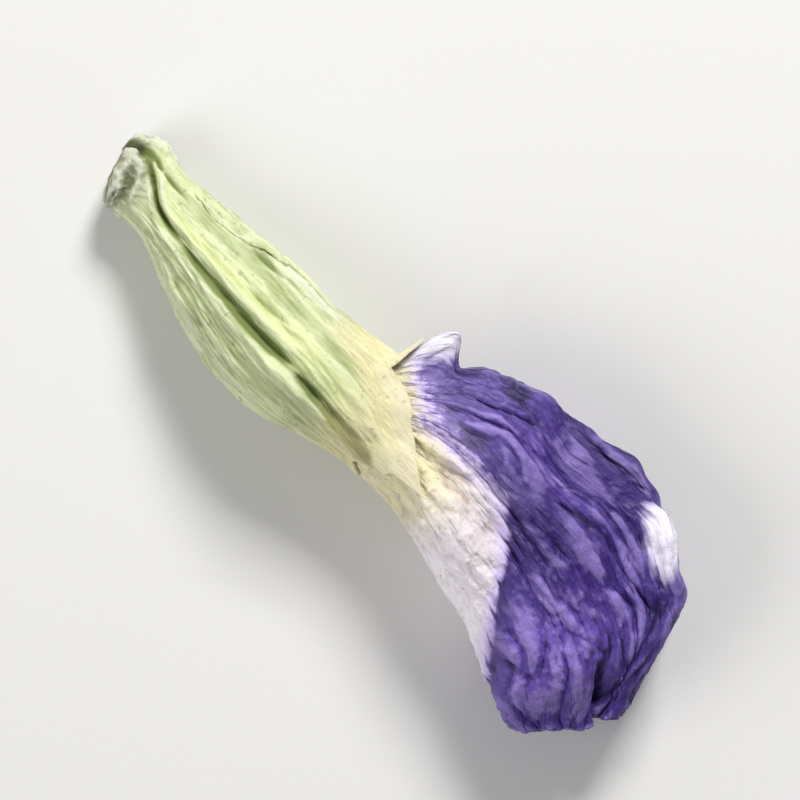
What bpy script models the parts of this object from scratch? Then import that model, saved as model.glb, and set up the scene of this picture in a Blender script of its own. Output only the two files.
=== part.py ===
"""A dried butterfly pea flower, as picked, lying on its side.

The flower lies along +X from its stalk to the tips of its petals. Its back, where the big petal is
folded along its midrib, faces -Y, and its belly, where that petal's two margins lie open, faces +Y.
It rests on the flattened underside of its calyx and of its big petal.

All sizes below are in millimetres, drawn with x = 0 at the end of the stalk; the last step moves the
whole flower so that the middle of its footprint is at the origin and it stands on z = 0.
"""

import bpy
import bmesh
import numpy as np
from mathutils import Matrix

MM = 0.001

# Driving dimensions.
BLADE = 0.62
GAP = 0.3
CALYX_WALL = 0.62
CALYX_FLOOR_X = 5.6
CALYX_MOUTH_X = 14.0
LOBE_LENGTHS = (5.2, 6.1, 3.1, 5.4, 4.8)
TRIM_DEPTH = 3.0

# Heights of the flower's middle plane above the surface, at stations along x.
SPINE_X = (0.0, 1.6, 4.5, 8.0, 12.0, 16.0, 20.0, 25.0, 35.0)
SPINE_Z = (1.46, 1.56, 2.06, 2.64, 3.10, 3.38, 3.48, 3.28, 3.22)

# The calyx and its stalk: x, y of the back edge, y of the middle line, y of the belly edge, half height.
CALYX_OUTLINE = np.array(
    (
        (0.10, -0.45, 0.42, 1.25, 0.75),
        (0.50, -1.18, 0.44, 1.74, 1.28),
        (1.60, -1.42, 0.46, 2.36, 1.62),
        (2.70, -1.32, 0.46, 2.27, 1.50),
        (3.60, -1.24, 0.48, 2.20, 1.44),
        (5.20, -1.50, 0.45, 2.30, 1.72),
        (7.00, -1.98, 0.38, 2.62, 2.15),
        (9.20, -2.50, 0.30, 2.92, 2.60),
        (11.60, -2.74, 0.28, 3.14, 2.92),
        (14.00, -2.42, 0.42, 3.44, 3.02),
        (16.00, -2.12, 0.50, 4.85, 3.20),
        (18.00, -1.98, 0.55, 6.40, 3.37),
        (20.20, -1.90, 0.60, 7.30, 3.60),
    )
)
CALYX_COLUMNS = 50
END_SLANT = 0.40
END_SLANT_X = 2.5
RIBS = 10
RIB_HEIGHT = 0.03
RIB_START_X = 3.4
RIB_FULL_X = 7.0
LOBES = 5
FIRST_LOBE_TURN = np.radians(36.0)
LOBE_BOW = 0.72
LOBE_TIP_CUT = 0.94
LOBE_TIP_X = 20.0

# The big petal, the standard: share of the way from claw to tip, then the fold's x and y, the margin's
# x and y, the half height between its two leaves, and the share of that height left at the margin.
STANDARD_OUTLINE = np.array(
    (
        (0.00, 7.50, -0.80, 7.50, 0.76, 0.90, 0.92),
        (0.22, 14.00, -1.00, 13.80, 1.60, 1.50, 0.94),
        (0.34, 17.20, -0.75, 16.60, 3.40, 1.76, 0.78),
        (0.45, 20.00, -0.60, 19.00, 6.25, 2.08, 0.67),
        (0.58, 23.60, -0.95, 22.80, 7.75, 2.95, 0.54),
        (0.72, 27.30, -1.65, 28.50, 7.85, 3.06, 0.52),
        (0.86, 30.40, -2.60, 32.80, 6.00, 2.60, 0.58),
        (1.00, 32.40, -3.20, 34.90, 1.30, 1.25, 0.70),
    )
)
END_BOW = 0.7
FOLD_SHARE = 0.30
FOLD_BEND = 0.30
PLEAT_HEIGHT = 0.17
PLEATS_ACROSS = 2.3
PLEAT_SWING = 0.22
WAVES_ALONG = 3.4
WAVE_SHARE = 0.45
FRILL_HEIGHT = 0.22
FRILL_WAVES = 6.0
REST_SPOT = (25.0, 2.2)
REST_SPOT_REACH = (4.5, 2.6)

# The wing petals, in the standard's own measures: share along it, then the shares across at their two edges.
WING_OUTLINE = np.array(
    (
        (0.17, 0.67, 0.97),
        (0.30, 0.66, 0.95),
        (0.42, 0.67, 0.94),
        (0.53, 0.63, 0.99),
        (0.60, 0.42, 1.04),
        (0.70, 0.30, 1.07),
        (0.79, 0.33, 1.05),
        (0.87, 0.48, 0.95),
    )
)

# The keel, in the same measures: share along, share across at its open edge, and at its folded edge.
KEEL_OUTLINE = np.array(
    (
        (0.43, 0.30, 0.52),
        (0.50, 0.24, 0.56),
        (0.58, 0.24, 0.60),
        (0.67, 0.27, 0.58),
        (0.75, 0.31, 0.50),
    )
)
KEEL_HALF = 0.91
KEEL_BEND = 0.45
KEEL_FOLD_SHARE = 0.28

# The stamen column's route in the flower's middle plane, and the anthers at its end.
COLUMN_ROUTE = np.array(
    ((6.30, 0.35), (10.0, 0.05), (14.0, 0.02), (18.0, 0.90), (22.0, 1.75), (26.0, 1.40), (29.7, 1.30))
)
COLUMN_RADIUS = 0.30
ANTHERS = 5
ANTHER_RADIUS = 0.34
ANTHER_SPREAD = 0.40

# The two bracteoles at the foot of the calyx: turn about the stalk, from the back over the top.
BRACTEOLE_TURNS = (np.radians(162.0), np.radians(-34.0))
BRACTEOLE_START_X = 3.6
BRACTEOLE_LENGTH = 6.0
BRACTEOLE_WIDTH = 2.0
BRACTEOLE_RADIUS = 2.1
BRACTEOLE_LIFT = 0.20


def through(knots, values, at):
    """A smooth line through the values given at the knots: cubic spans that share their slopes."""
    knots = np.asarray(knots, float)
    values = np.asarray(values, float)
    slopes = np.gradient(values, knots)
    at = np.asarray(at, float)
    span = np.clip(np.searchsorted(knots, at, side="right") - 1, 0, len(knots) - 2)
    width = knots[span + 1] - knots[span]
    t = (at - knots[span]) / width
    rise = t * t * (3.0 - 2.0 * t)
    leave = t * (1.0 - t) ** 2 * width
    arrive = t * t * (t - 1.0) * width
    return (
        values[span] * (1.0 - rise)
        + values[span + 1] * rise
        + slopes[span] * leave
        + slopes[span + 1] * arrive
    )


def ease(value, start, end):
    """0 before start, 1 after end, and a smooth step between; start may be larger than end."""
    t = np.clip((value - start) / (end - start), 0.0, 1.0)
    return t * t * (3.0 - 2.0 * t)


def spine_height(x):
    return through(SPINE_X, SPINE_Z, x)


def material(name, colour, roughness):
    """A plain Principled BSDF with the piece's colour, roughness and no metal."""
    made = bpy.data.materials.new(name)
    made.use_nodes = True
    shader = made.node_tree.nodes["Principled BSDF"]
    shader.inputs["Base Color"].default_value = (*colour, 1.0)
    shader.inputs["Roughness"].default_value = roughness
    shader.inputs["Metallic"].default_value = 0.0
    return made


def new_object(name, points, faces, finish, parent=None):
    """An object from points in millimetres, smooth shaded, in the scene."""
    mesh = bpy.data.meshes.new(name)
    mesh.from_pydata((np.asarray(points) * MM).tolist(), [], faces)
    mesh.update()
    made = bpy.data.objects.new(name, mesh)
    made.data.materials.append(finish)
    made.parent = parent
    bpy.context.scene.collection.objects.link(made)
    mesh.shade_smooth()
    return made


def ring_solid(name, rings, finish, parent=None):
    """A closed body from rings of points, in order, with a fan over the middle of the first and last."""
    count, columns, _ = rings.shape
    points = np.concatenate([rings.reshape(-1, 3), rings[0].mean(0)[None], rings[-1].mean(0)[None]])
    first, last = count * columns, count * columns + 1
    faces = []
    for j in range(columns):
        k = (j + 1) % columns
        faces.append((first, k, j))
        for i in range(count - 1):
            a, b = i * columns + j, i * columns + k
            faces.append((a, b, b + columns, a + columns))
        faces.append((last, (count - 1) * columns + j, (count - 1) * columns + k))
    made = new_object(name, points, faces, finish, parent)
    turn_outwards(made)
    return made


def turn_outwards(made):
    """Recalculates the faces' directions of a closed body and splits them into triangles."""
    body = bmesh.new()
    body.from_mesh(made.data)
    bmesh.ops.recalc_face_normals(body, faces=body.faces)
    bmesh.ops.triangulate(body, faces=body.faces)
    body.to_mesh(made.data)
    body.free()


def blade(name, grid, finish, parent=None):
    """A petal: a sheet of points on a grid, split into triangles and then given its thickness."""
    rows, columns, _ = grid.shape
    faces = []
    for i in range(rows - 1):
        for j in range(columns - 1):
            a = i * columns + j
            faces.append((a, a + columns, a + columns + 1, a + 1))
    made = new_object(name, grid.reshape(-1, 3), faces, finish, parent)
    sheet = bmesh.new()
    sheet.from_mesh(made.data)
    bmesh.ops.triangulate(sheet, faces=sheet.faces)
    sheet.to_mesh(made.data)
    sheet.free()
    thickness = made.modifiers.new("thickness", "SOLIDIFY")
    thickness.thickness = BLADE * MM
    thickness.offset = 0.0
    thickness.use_even_offset = False
    return made


def union(parts):
    """Joins several bodies into the first with one exact union on a collection, and drops the rest."""
    others = bpy.data.collections.new(parts[0].name + "_pieces")
    bpy.context.scene.collection.children.link(others)
    for part in parts[1:]:
        bpy.context.scene.collection.objects.unlink(part)
        others.objects.link(part)
    join = parts[0].modifiers.new("join", "BOOLEAN")
    join.operation = "UNION"
    join.operand_type = "COLLECTION"
    join.collection = others
    join.solver = "EXACT"
    bpy.context.view_layer.update()
    evaluated = parts[0].evaluated_get(bpy.context.evaluated_depsgraph_get())
    whole = bpy.data.meshes.new_from_object(evaluated)
    parts[0].modifiers.clear()
    parts[0].data = whole
    for part in parts[1:]:
        bpy.data.objects.remove(part)
    bpy.data.collections.remove(others)
    return parts[0]


def trim_flat(made, cutter):
    """Cuts off what a body has below the surface, which leaves it a flat spot to rest on."""
    cut = made.modifiers.new("rest", "BOOLEAN")
    cut.operation = "DIFFERENCE"
    cut.object = cutter
    cut.solver = "EXACT"


def lobe_reach(turn):
    """How far past the mouth the calyx's rim reaches at a turn: five pointed lobes, their edges bowed out."""
    step = 2.0 * np.pi / LOBES
    place = (turn - FIRST_LOBE_TURN) / step
    nearest = np.round(place)
    aside = np.abs(place - nearest) * 2.0
    lengths = np.array(LOBE_LENGTHS)[nearest.astype(int) % LOBES]
    return lengths * np.minimum((1.0 - aside) ** LOBE_BOW, LOBE_TIP_CUT)


def calyx_surface(x, turn, wall):
    """Points of the calyx at stations x and turns about its middle line, moved in by wall.

    Each ring is two half ellipses, a narrow one at the back and a wide one at the belly, with ten low
    ribs on its outside. Past the mouth the rings go on widening, so that the lobes lie over the petals.
    The stalk's end is cut at a slant: its rings lean towards the petals at the back.
    """
    stations = CALYX_OUTLINE[:, 0]
    back, middle, belly, height = (through(stations, CALYX_OUTLINE[:, i], x) for i in (1, 2, 3, 4))
    ribbed = ease(x, RIB_START_X, RIB_FULL_X) * (1.0 - 0.5 * ease(x, CALYX_MOUTH_X, LOBE_TIP_X))
    ribbed = np.where(wall > 0.0, 0.0, ribbed)
    swell = 1.0 + RIB_HEIGHT * ribbed * (1.0 + np.cos(RIBS * turn))
    across = np.cos(turn)
    half = np.where(across > 0.0, middle - back, belly - middle)
    y = middle - (half * swell - wall) * across
    z = spine_height(x) + (height * swell - wall) * np.sin(turn)
    slant = END_SLANT * (1.0 - ease(x, 0.0, END_SLANT_X))
    return np.stack([x + slant * (belly - y), y, z], axis=-1)


def calyx(finish, flower):
    """The green calyx with its knob of stalk: a cup from floor to mouth, five lobes, two bracteoles."""
    turn = np.arange(CALYX_COLUMNS) * 2.0 * np.pi / CALYX_COLUMNS
    body_x = np.array((0.1, 0.5, 1.0, 1.6, 2.2, 2.8, 3.6, 4.5, 5.6, 7.0, 8.6, 10.3, 12.2, CALYX_MOUTH_X))
    lobe_shares = np.array((0.2, 0.4, 0.6, 0.8, 1.0))
    inner_x = np.array((12.2, 10.0, 8.0, 6.6, CALYX_FLOOR_X))
    reach = lobe_reach(turn)
    outer = [calyx_surface(np.full_like(turn, x), turn, 0.0) for x in body_x]
    outer += [calyx_surface(CALYX_MOUTH_X + reach * share, turn, 0.0) for share in lobe_shares]
    inner = [
        calyx_surface(CALYX_MOUTH_X + reach * share, turn, CALYX_WALL)
        for share in (*lobe_shares[::-1], 0.0)
    ]
    inner += [calyx_surface(np.full_like(turn, x), turn, CALYX_WALL) for x in inner_x]
    rings = np.stack(outer + inner)
    cup = ring_solid("calyx", rings, finish, flower)
    scales = [bracteole(f"bracteole_{i + 1}", BRACTEOLE_TURNS[i], finish, flower) for i in range(2)]
    return union([cup, *scales])


def bracteole(name, turn, finish, flower):
    """A small pointed scale that hugs the foot of the calyx, its root sunk in the stalk's neck."""
    rows, columns = 7, 5
    along = np.linspace(0.0, 1.0, rows)[:, None]
    across = np.linspace(-1.0, 1.0, columns)[None]
    x = BRACTEOLE_START_X + BRACTEOLE_LENGTH * along + 0.0 * across
    width = BRACTEOLE_WIDTH * np.sin(np.pi * (0.16 + 0.80 * along)) ** 0.8
    turns = turn + across * width / (2.0 * BRACTEOLE_RADIUS)
    return blade(name, calyx_surface(x, turns, -BRACTEOLE_LIFT * along**2), finish, flower)


def cross_section(across):
    """The big petal's section, from its fold (0) to a margin (1): the share of the width covered, and the
    share of the half height. The fold is a quarter of an ellipse, and past it the leaf runs straight in
    width while its height falls by the cube of the way left."""
    bend = np.clip(across / FOLD_BEND, 0.0, 1.0) * np.pi / 2.0
    rest = np.maximum((across - FOLD_BEND) / (1.0 - FOLD_BEND), 0.0)
    width = FOLD_SHARE * (1.0 - np.cos(bend)) + (1.0 - FOLD_SHARE) * rest
    return width, np.sin(bend), rest


def pleats(along, across, x, y, side):
    """Height of the soft folds of a leaf: pleats that run with the veins and a few waves across them.

    They fade out towards the fold and the calyx, and on the under leaf round the spot it rests on.
    """
    phase = 0.7 if side > 0 else 2.6
    swing = PLEAT_SWING * np.sin(2.0 * np.pi * along + phase)
    lengthwise = np.sin(2.0 * np.pi * (PLEATS_ACROSS * across + swing) + phase)
    crosswise = WAVE_SHARE * np.sin(2.0 * np.pi * (WAVES_ALONG * along + 0.9 * across) + 2.0 * phase)
    grow = ease(along, 0.36, 0.62) * (0.30 + 0.70 * across)
    height = PLEAT_HEIGHT * grow * (lengthwise + crosswise)
    if side < 0:
        off_x = (x - REST_SPOT[0]) / REST_SPOT_REACH[0]
        off_y = (y - REST_SPOT[1]) / REST_SPOT_REACH[1]
        height = height * (1.0 - np.exp(-(off_x**2) - off_y**2))
    return height


def standard_leaf(along, across, side):
    """Points of one leaf of the standard, and its height off the middle plane.

    along runs from the claw to the tip, across from the fold to the margin, side is 1 for the upper leaf.
    """
    table = STANDARD_OUTLINE
    fold_x, fold_y, margin_x, margin_y, height, left = (
        through(table[:, 0], table[:, i], along) for i in range(1, 7)
    )
    frill = FRILL_HEIGHT * ease(along, 0.45, 0.6) * across**2
    wave = np.sin(2.0 * np.pi * FRILL_WAVES * along + (0.0 if side > 0 else 1.7))
    width, bend, rest = cross_section(across)
    x = fold_x + (margin_x - fold_x) * width + END_BOW * ease(along, 0.75, 1.0) * np.sin(np.pi * width)
    y = fold_y + (margin_y - fold_y) * width + frill * wave
    share = bend * (1.0 - (1.0 - left) * np.minimum(rest, 1.15) ** 3)
    lift = height * share + bend * pleats(along, across, x, y, side)
    return x, y, lift


def standard(finish, flower):
    """The big petal, folded along its midrib at the back, its two leaves lying over the other petals."""
    rows = 30
    along = np.linspace(0.0, 1.0, rows)[:, None]
    shares = np.concatenate([np.linspace(0.0, FOLD_BEND, 6), np.linspace(FOLD_BEND, 1.0, 10)[1:]])[None]
    leaves = []
    for side in (-1, 1):
        x, y, lift = standard_leaf(along, shares, side)
        leaves.append(np.stack([x, y, spine_height(x) + side * lift], axis=-1))
    grid = np.concatenate([leaves[0][:, :0:-1], leaves[1]], axis=1)
    return blade("standard_petal", grid, finish, flower)


def core_half(along, across):
    """Half the thickness of what lies between the wings: the keel's, and past its edges half a gap less
    than nothing, since there each wing has only to clear the other."""
    edge = through(KEEL_OUTLINE[:, 0], KEEL_OUTLINE[:, 2], np.clip(along, 0.43, 0.75))
    within = 1.0 - ease(across, edge + 0.04, edge + 0.24)
    within = within * ease(along, 0.47, 0.55) * (1.0 - ease(along, 0.76, 0.84))
    return (KEEL_HALF + BLADE / 2.0 + GAP / 2.0) * within - GAP / 2.0


def wing(name, side, finish, flower):
    """A wing petal: a narrow claw down into the calyx and a blade between the keel and the standard."""
    rows, columns = 22, 9
    along = np.linspace(WING_OUTLINE[0, 0], WING_OUTLINE[-1, 0], rows)[:, None]
    near, far = (through(WING_OUTLINE[:, 0], WING_OUTLINE[:, i], along) for i in (1, 2))
    across = near + (far - near) * np.linspace(0.0, 1.0, columns)[None]
    x, y, lift = standard_leaf(along, across, side)
    height = 0.5 * (core_half(along, across) + lift - BLADE / 2.0)
    height = np.maximum(height, 0.5 * (BLADE + GAP))
    return blade(name, np.stack([x, y, spine_height(x) + side * height], axis=-1), finish, flower)


def keel(finish, flower):
    """The keel: two small pale petals joined along the belly edge, a hairpin open towards the back."""
    rows, half_columns = 12, 7
    along = np.linspace(KEEL_OUTLINE[0, 0], KEEL_OUTLINE[-1, 0], rows)[:, None]
    open_edge, fold_edge = (through(KEEL_OUTLINE[:, 0], KEEL_OUTLINE[:, i], along) for i in (1, 2))
    turn = np.linspace(0.0, 1.0, half_columns)[None]
    bend = np.clip(turn / KEEL_BEND, 0.0, 1.0) * np.pi / 2.0
    rest = np.clip((turn - KEEL_BEND) / (1.0 - KEEL_BEND), 0.0, 1.0)
    shift = KEEL_FOLD_SHARE * (1.0 - np.cos(bend)) + (1.0 - KEEL_FOLD_SHARE) * rest
    across = fold_edge + (open_edge - fold_edge) * shift
    table = STANDARD_OUTLINE
    fold_x, fold_y, margin_x, margin_y = (through(table[:, 0], table[:, i], along) for i in range(1, 5))
    width = cross_section(across)[0]
    x = fold_x + (margin_x - fold_x) * width
    y = fold_y + (margin_y - fold_y) * width
    lift = KEEL_HALF * np.sin(bend)
    leaves = [np.stack([x, y, spine_height(x) + side * lift], axis=-1) for side in (-1, 1)]
    grid = np.concatenate([leaves[0][:, :0:-1], leaves[1]], axis=1)
    return blade("keel_petals", grid, finish, flower)


def anther(name, centre, finish, flower):
    """One anther: a small long ellipsoid of few sides."""
    turn = np.arange(6) * np.pi / 3.0
    rings = []
    for slope in np.radians((-50.0, 0.0, 50.0)):
        ring = np.stack(
            [
                np.full_like(turn, 1.7 * ANTHER_RADIUS * np.sin(slope)),
                ANTHER_RADIUS * np.cos(slope) * np.cos(turn),
                ANTHER_RADIUS * np.cos(slope) * np.sin(turn),
            ],
            axis=-1,
        )
        rings.append(ring + centre)
    return ring_solid(name, np.stack(rings), finish, flower)


def stamen_column(finish, flower):
    """The stamens' sheath dried round the pistil, one slim rod, with the anthers at its end."""
    knots = np.arange(len(COLUMN_ROUTE), dtype=float)
    at = np.linspace(0.0, knots[-1], 22)
    x, y = (through(knots, COLUMN_ROUTE[:, i], at) for i in (0, 1))
    path = np.stack([x, y, spine_height(x)], axis=-1)
    heading = np.gradient(path, axis=0)
    heading /= np.linalg.norm(heading, axis=1, keepdims=True)
    up = np.array((0.0, 0.0, 1.0))
    aside = np.cross(up, heading)
    aside /= np.linalg.norm(aside, axis=1, keepdims=True)
    over = np.cross(heading, aside)
    turn = np.arange(8) * np.pi / 4.0
    rings = path[:, None] + COLUMN_RADIUS * (
        np.cos(turn)[None, :, None] * aside[:, None] + np.sin(turn)[None, :, None] * over[:, None]
    )
    rod = ring_solid("stamen_column", rings, finish, flower)
    tips = []
    for i in range(ANTHERS):
        angle = 2.0 * np.pi * i / ANTHERS
        offset = np.array((0.25 * np.cos(2.0 * angle), np.cos(angle), np.sin(angle))) * ANTHER_SPREAD
        tips.append(anther(f"anther_{i + 1}", path[-1] + offset, finish, flower))
    return union([rod, *tips])


def surface_cutter():
    """A slab whose top is the surface the flower lies on; it is a tool and not part of the flower."""
    bpy.ops.mesh.primitive_cube_add(size=1.0, location=(0.0, 0.0, 0.0))
    slab = bpy.context.object
    slab.name = "surface_cutter"
    sizes = Matrix.Diagonal((0.08, 0.06, TRIM_DEPTH * MM, 1.0))
    slab.data.transform(Matrix.Translation((0.018, 0.0, -TRIM_DEPTH * MM / 2.0)) @ sizes)
    slab.display_type = "WIRE"
    slab.hide_render = True
    return slab


def footprint(pieces):
    """Lowest and highest corner of all the pieces, modifiers included."""
    bpy.context.view_layer.update()
    graph = bpy.context.evaluated_depsgraph_get()
    corners = []
    for piece in pieces:
        evaluated = piece.evaluated_get(graph)
        mesh = evaluated.to_mesh()
        points = np.empty(len(mesh.vertices) * 3)
        mesh.vertices.foreach_get("co", points)
        points = points.reshape(-1, 3)
        corners += [points.min(0), points.max(0)]
        evaluated.to_mesh_clear()
    return np.min(corners, axis=0), np.max(corners, axis=0)


def main():
    for old in list(bpy.data.objects):
        bpy.data.objects.remove(old)
    green = material("dried_calyx_green", (0.52, 0.58, 0.27), 0.75)
    violet = material("dried_petal_violet", (0.105, 0.065, 0.32), 0.65)
    wing_violet = material("wing_violet", (0.13, 0.08, 0.34), 0.65)
    cream = material("keel_cream", (0.72, 0.66, 0.52), 0.7)
    pale = material("stamen_cream", (0.78, 0.73, 0.55), 0.7)

    flower = bpy.data.objects.new("flower", None)
    bpy.context.scene.collection.objects.link(flower)
    pieces = [
        calyx(green, flower),
        standard(violet, flower),
        wing("wing_petal_upper", 1, wing_violet, flower),
        wing("wing_petal_lower", -1, wing_violet, flower),
        keel(cream, flower),
        stamen_column(pale, flower),
    ]
    slab = surface_cutter()
    for piece in pieces[:2]:
        trim_flat(piece, slab)
    low, high = footprint(pieces)
    middle = (low + high) / 2.0
    flower.location = (-middle[0], -middle[1], 0.0)
    slab.parent = flower
    bpy.context.view_layer.update()


main()
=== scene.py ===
"""The looks of a dried butterfly pea flower that lies on its side.

Every petal is the CAD's own surface on a finer grid, thinned to a real petal's thickness and crinkled; the
calyx gets its ribs, shrunken panels and wrinkled knob the same way. Sizes are millimetres in the flower's
own drawing, where x = 0 is the end of the stalk, and SHIFT takes them to the frame. `along` runs from a
petal's claw (0) to its tip (1), `across` from its fold (0) to its margin (1), and `turn` round the calyx
from its back edge over the side that is seen. A bell is given as its place, reach and height.
"""

import bpy
import numpy as np
from mathutils import Matrix, Vector


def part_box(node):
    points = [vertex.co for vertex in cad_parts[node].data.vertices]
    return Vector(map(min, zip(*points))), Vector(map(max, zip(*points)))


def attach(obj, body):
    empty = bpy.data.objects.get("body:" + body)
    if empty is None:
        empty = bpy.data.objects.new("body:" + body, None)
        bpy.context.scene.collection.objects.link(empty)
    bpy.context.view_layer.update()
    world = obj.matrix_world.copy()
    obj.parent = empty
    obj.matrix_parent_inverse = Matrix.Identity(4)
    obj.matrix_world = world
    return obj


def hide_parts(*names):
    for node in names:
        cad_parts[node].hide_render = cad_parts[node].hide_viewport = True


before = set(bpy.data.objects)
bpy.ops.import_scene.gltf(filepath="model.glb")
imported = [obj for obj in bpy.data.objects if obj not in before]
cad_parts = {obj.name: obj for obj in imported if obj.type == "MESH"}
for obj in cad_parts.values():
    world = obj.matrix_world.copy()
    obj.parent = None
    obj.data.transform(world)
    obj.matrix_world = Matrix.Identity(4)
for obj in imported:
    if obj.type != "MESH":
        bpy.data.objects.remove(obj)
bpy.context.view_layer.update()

MM = 0.001
TAU = 2.0 * np.pi

# Real thicknesses, that of the CAD's blade, and the room between petals.
PETAL = 0.17
INNER_PETAL = 0.15
CALYX_WALL = 0.24
LOBE_WALL = 0.15
BRACTEOLE_WALL = 0.12
CAD_BLADE = 0.62
GAP = 0.3

# Height of the flower's middle line over the surface.
SPINE_X = (0.0, 1.6, 4.5, 8.0, 12.0, 16.0, 20.0, 25.0, 35.0)
SPINE_Z = (1.46, 1.56, 2.06, 2.64, 3.1, 3.38, 3.48, 3.28, 3.22)

# The calyx: x, y of its back edge, its middle line and its belly edge, and half its height.
CALYX = (
    (0.1, -0.45, 0.42, 1.25, 0.75),
    (0.5, -1.18, 0.44, 1.74, 1.28),
    (1.6, -1.42, 0.46, 2.36, 1.62),
    (2.7, -1.32, 0.46, 2.27, 1.5),
    (3.6, -1.24, 0.48, 2.2, 1.44),
    (5.2, -1.5, 0.45, 2.3, 1.72),
    (7.0, -1.98, 0.38, 2.62, 2.15),
    (9.2, -2.5, 0.3, 2.92, 2.6),
    (11.6, -2.74, 0.28, 3.14, 2.92),
    (14.0, -2.42, 0.42, 3.44, 3.02),
    (16.0, -2.12, 0.5, 4.2, 3.05),
    (18.0, -1.94, 0.55, 5.05, 3.1),
    (20.2, -1.8, 0.6, 5.6, 3.2),
    (22.6, -1.7, 0.66, 6.0, 3.3),
)
CALYX_COLUMNS = 300
STALK_END_X = 0.1
END_SLANT = 0.4
END_SLANT_X = 2.5
SCAR_DEPTH = 0.3
KNOB_END_X = 2.0
NECK_END_X = 3.6
FLOOR_X = 5.6
MOUTH_X = 14.0
RIBS = 10
RIB_HEIGHT = 0.075
RIB_START_X = 3.4
RIB_FULL_X = 7.0

# The lobes past the mouth. Two splits have grown together: turn, reach before and after it, length.
LOBE_LENGTHS = (5.0, 7.8, 2.7, 5.6, 4.9)
LOBES = len(LOBE_LENGTHS)
FIRST_LOBE_TURN = np.radians(36.0)
LOBE_TWIST = 0.4
RIM = 0.15
JOINED_SPLITS = ((2.52, 0.45, 0.45, 2.1), (1.38, 0.55, 0.34, 5.1))
MOVED_SPLIT = (1.36, 0.4, 0.13)

# How the lobes hug the petals: how far they draw in, the room left, and the steps that reach is taken in.
LOBE_HUG = 1.15
LOBE_HUG_LENGTH = 6.5
LOBE_CLEAR = 0.08
REACH_START_X = 13.0
REACH_STEP = 0.2
REACH_STEPS = 52
REACH_TURNS = 100

# Creases of the shrunken calyx: x of its points, their turns, where it starts and ends, depth, half width.
CREASES = (
    (
        (1.0, 2.6, 3.6, 5.8, 8.5, 12.0, 15.0, 18.0),
        (2.2, 1.86, 1.46, 1.33, 1.39, 1.43, 1.42, 1.38),
        (0.8, 3.0), (13.5, 17.6), 0.44, 0.095,
    ),
    ((6.0, 12.0, 18.0), (1.9, 1.82, 1.96), (7.0, 9.5), (12.0, 15.0), 0.12, 0.07),
    ((0.2, 3.0, 6.0), (2.36, 2.24, 2.18), (0.1, 0.3), (3.2, 5.5), 0.22, 0.11),
    ((0.2, 2.0), (2.38, 2.26), (0.1, 0.3), (0.8, 2.0), 0.36, 0.19),
    ((14.5, 19.0), (1.42, 1.36), (14.0, 15.8), (18.3, 19.8), 0.27, 0.23),
    ((4.0, 10.0, 16.0), (0.78, 0.62, 0.7), (4.0, 7.0), (11.0, 14.0), 0.15, 0.08),
    ((4.0, 9.0, 15.0), (2.62, 2.5, 2.55), (3.5, 6.5), (9.0, 13.0), 0.2, 0.08),
    ((3.0, 9.0, 16.0), (4.6, 4.76, 4.7), (3.0, 6.0), (13.0, 16.0), 0.36, 0.1),
    ((5.0, 10.0, 15.0), (3.32, 3.12, 3.2), (5.0, 8.0), (11.0, 13.5), 0.22, 0.085),
    ((4.0, 9.0, 15.0), (5.55, 5.45, 5.6), (4.0, 8.0), (11.0, 14.0), 0.24, 0.09),
)
# Where creases are shallower: x, half length, and the share of the depth that is gone.
CREASE_BREAKS = ((5.6, 0.6, 0.5), (7.3, 1.0, 0.25), (13.4, 0.7, 0.75), (15.5, 0.5, 0.45))

BRACTEOLE_TURNS = (np.radians(162.0), np.radians(-34.0))
BRACTEOLE_START_X = 3.6
BRACTEOLE_LENGTH = 6.0
BRACTEOLE_WIDTH = 1.9
BRACTEOLE_RADIUS = 2.1
BRACTEOLE_LIFT = 0.03

# The standard: along, x and y of its fold and of its margin, half its height, share of that at the margin.
STANDARD = (
    (0.0, 7.5, -0.8, 7.5, 0.76, 0.9, 0.92),
    (0.22, 14.0, -1.0, 13.8, 1.6, 1.5, 0.94),
    (0.34, 17.2, -0.75, 16.6, 3.4, 1.76, 0.78),
    (0.45, 20.0, -0.6, 19.0, 6.25, 2.08, 0.67),
    (0.58, 23.6, -0.95, 22.8, 7.75, 2.95, 0.54),
    (0.72, 27.3, -1.65, 28.5, 7.85, 3.06, 0.52),
    (0.86, 30.4, -2.6, 32.8, 6.0, 2.6, 0.58),
    (1.0, 32.4, -3.2, 34.9, 1.3, 1.25, 0.7),
)
BLADE_LENGTH = 26.0
BLADE_WIDTH = STANDARD[4][4] - STANDARD[4][2]
VEIN_WIDTH = 10.0
STANDARD_ROWS = 246
FOLD_COLUMNS = 30
FLAT_COLUMNS = 68
END_BOW = 0.7
END_CLOSE = 0.62
FOLD_SHARE = 0.3
FOLD_BEND = 0.3
PLEAT_HEIGHT = 0.17
PLEATS_ACROSS = 2.3
PLEAT_SWING = 0.22
WAVES_ALONG = 3.4
WAVE_SHARE = 0.45
FRILL_HEIGHT = 0.22
FRILL_WAVES = 6.0
SWAY = 0.55
REST_X = (25.0, 4.5)
REST_Y = (2.2, 2.6)

# The upper leaf's margin is drawn in at one place and turned out at the next, with a rolled hem.
MARGIN_IN = (25.4, 2.2, 0.6)
HEM_OUT = (30.4, 1.4, 0.65)
HEM_ROLL = (30.2, 1.3, 0.42)
# Its pale corner that turned out by the calyx: where along the margin, half length, how far out and up.
FLAP_ALONG = 0.372
FLAP_HALF = 0.04
FLAP_OUT = 2.2
FLAP_UP = 0.7
# A short crease beside its fold, near the end: along, across.
SHORT_CREASE = (0.845, 0.19)

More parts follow.
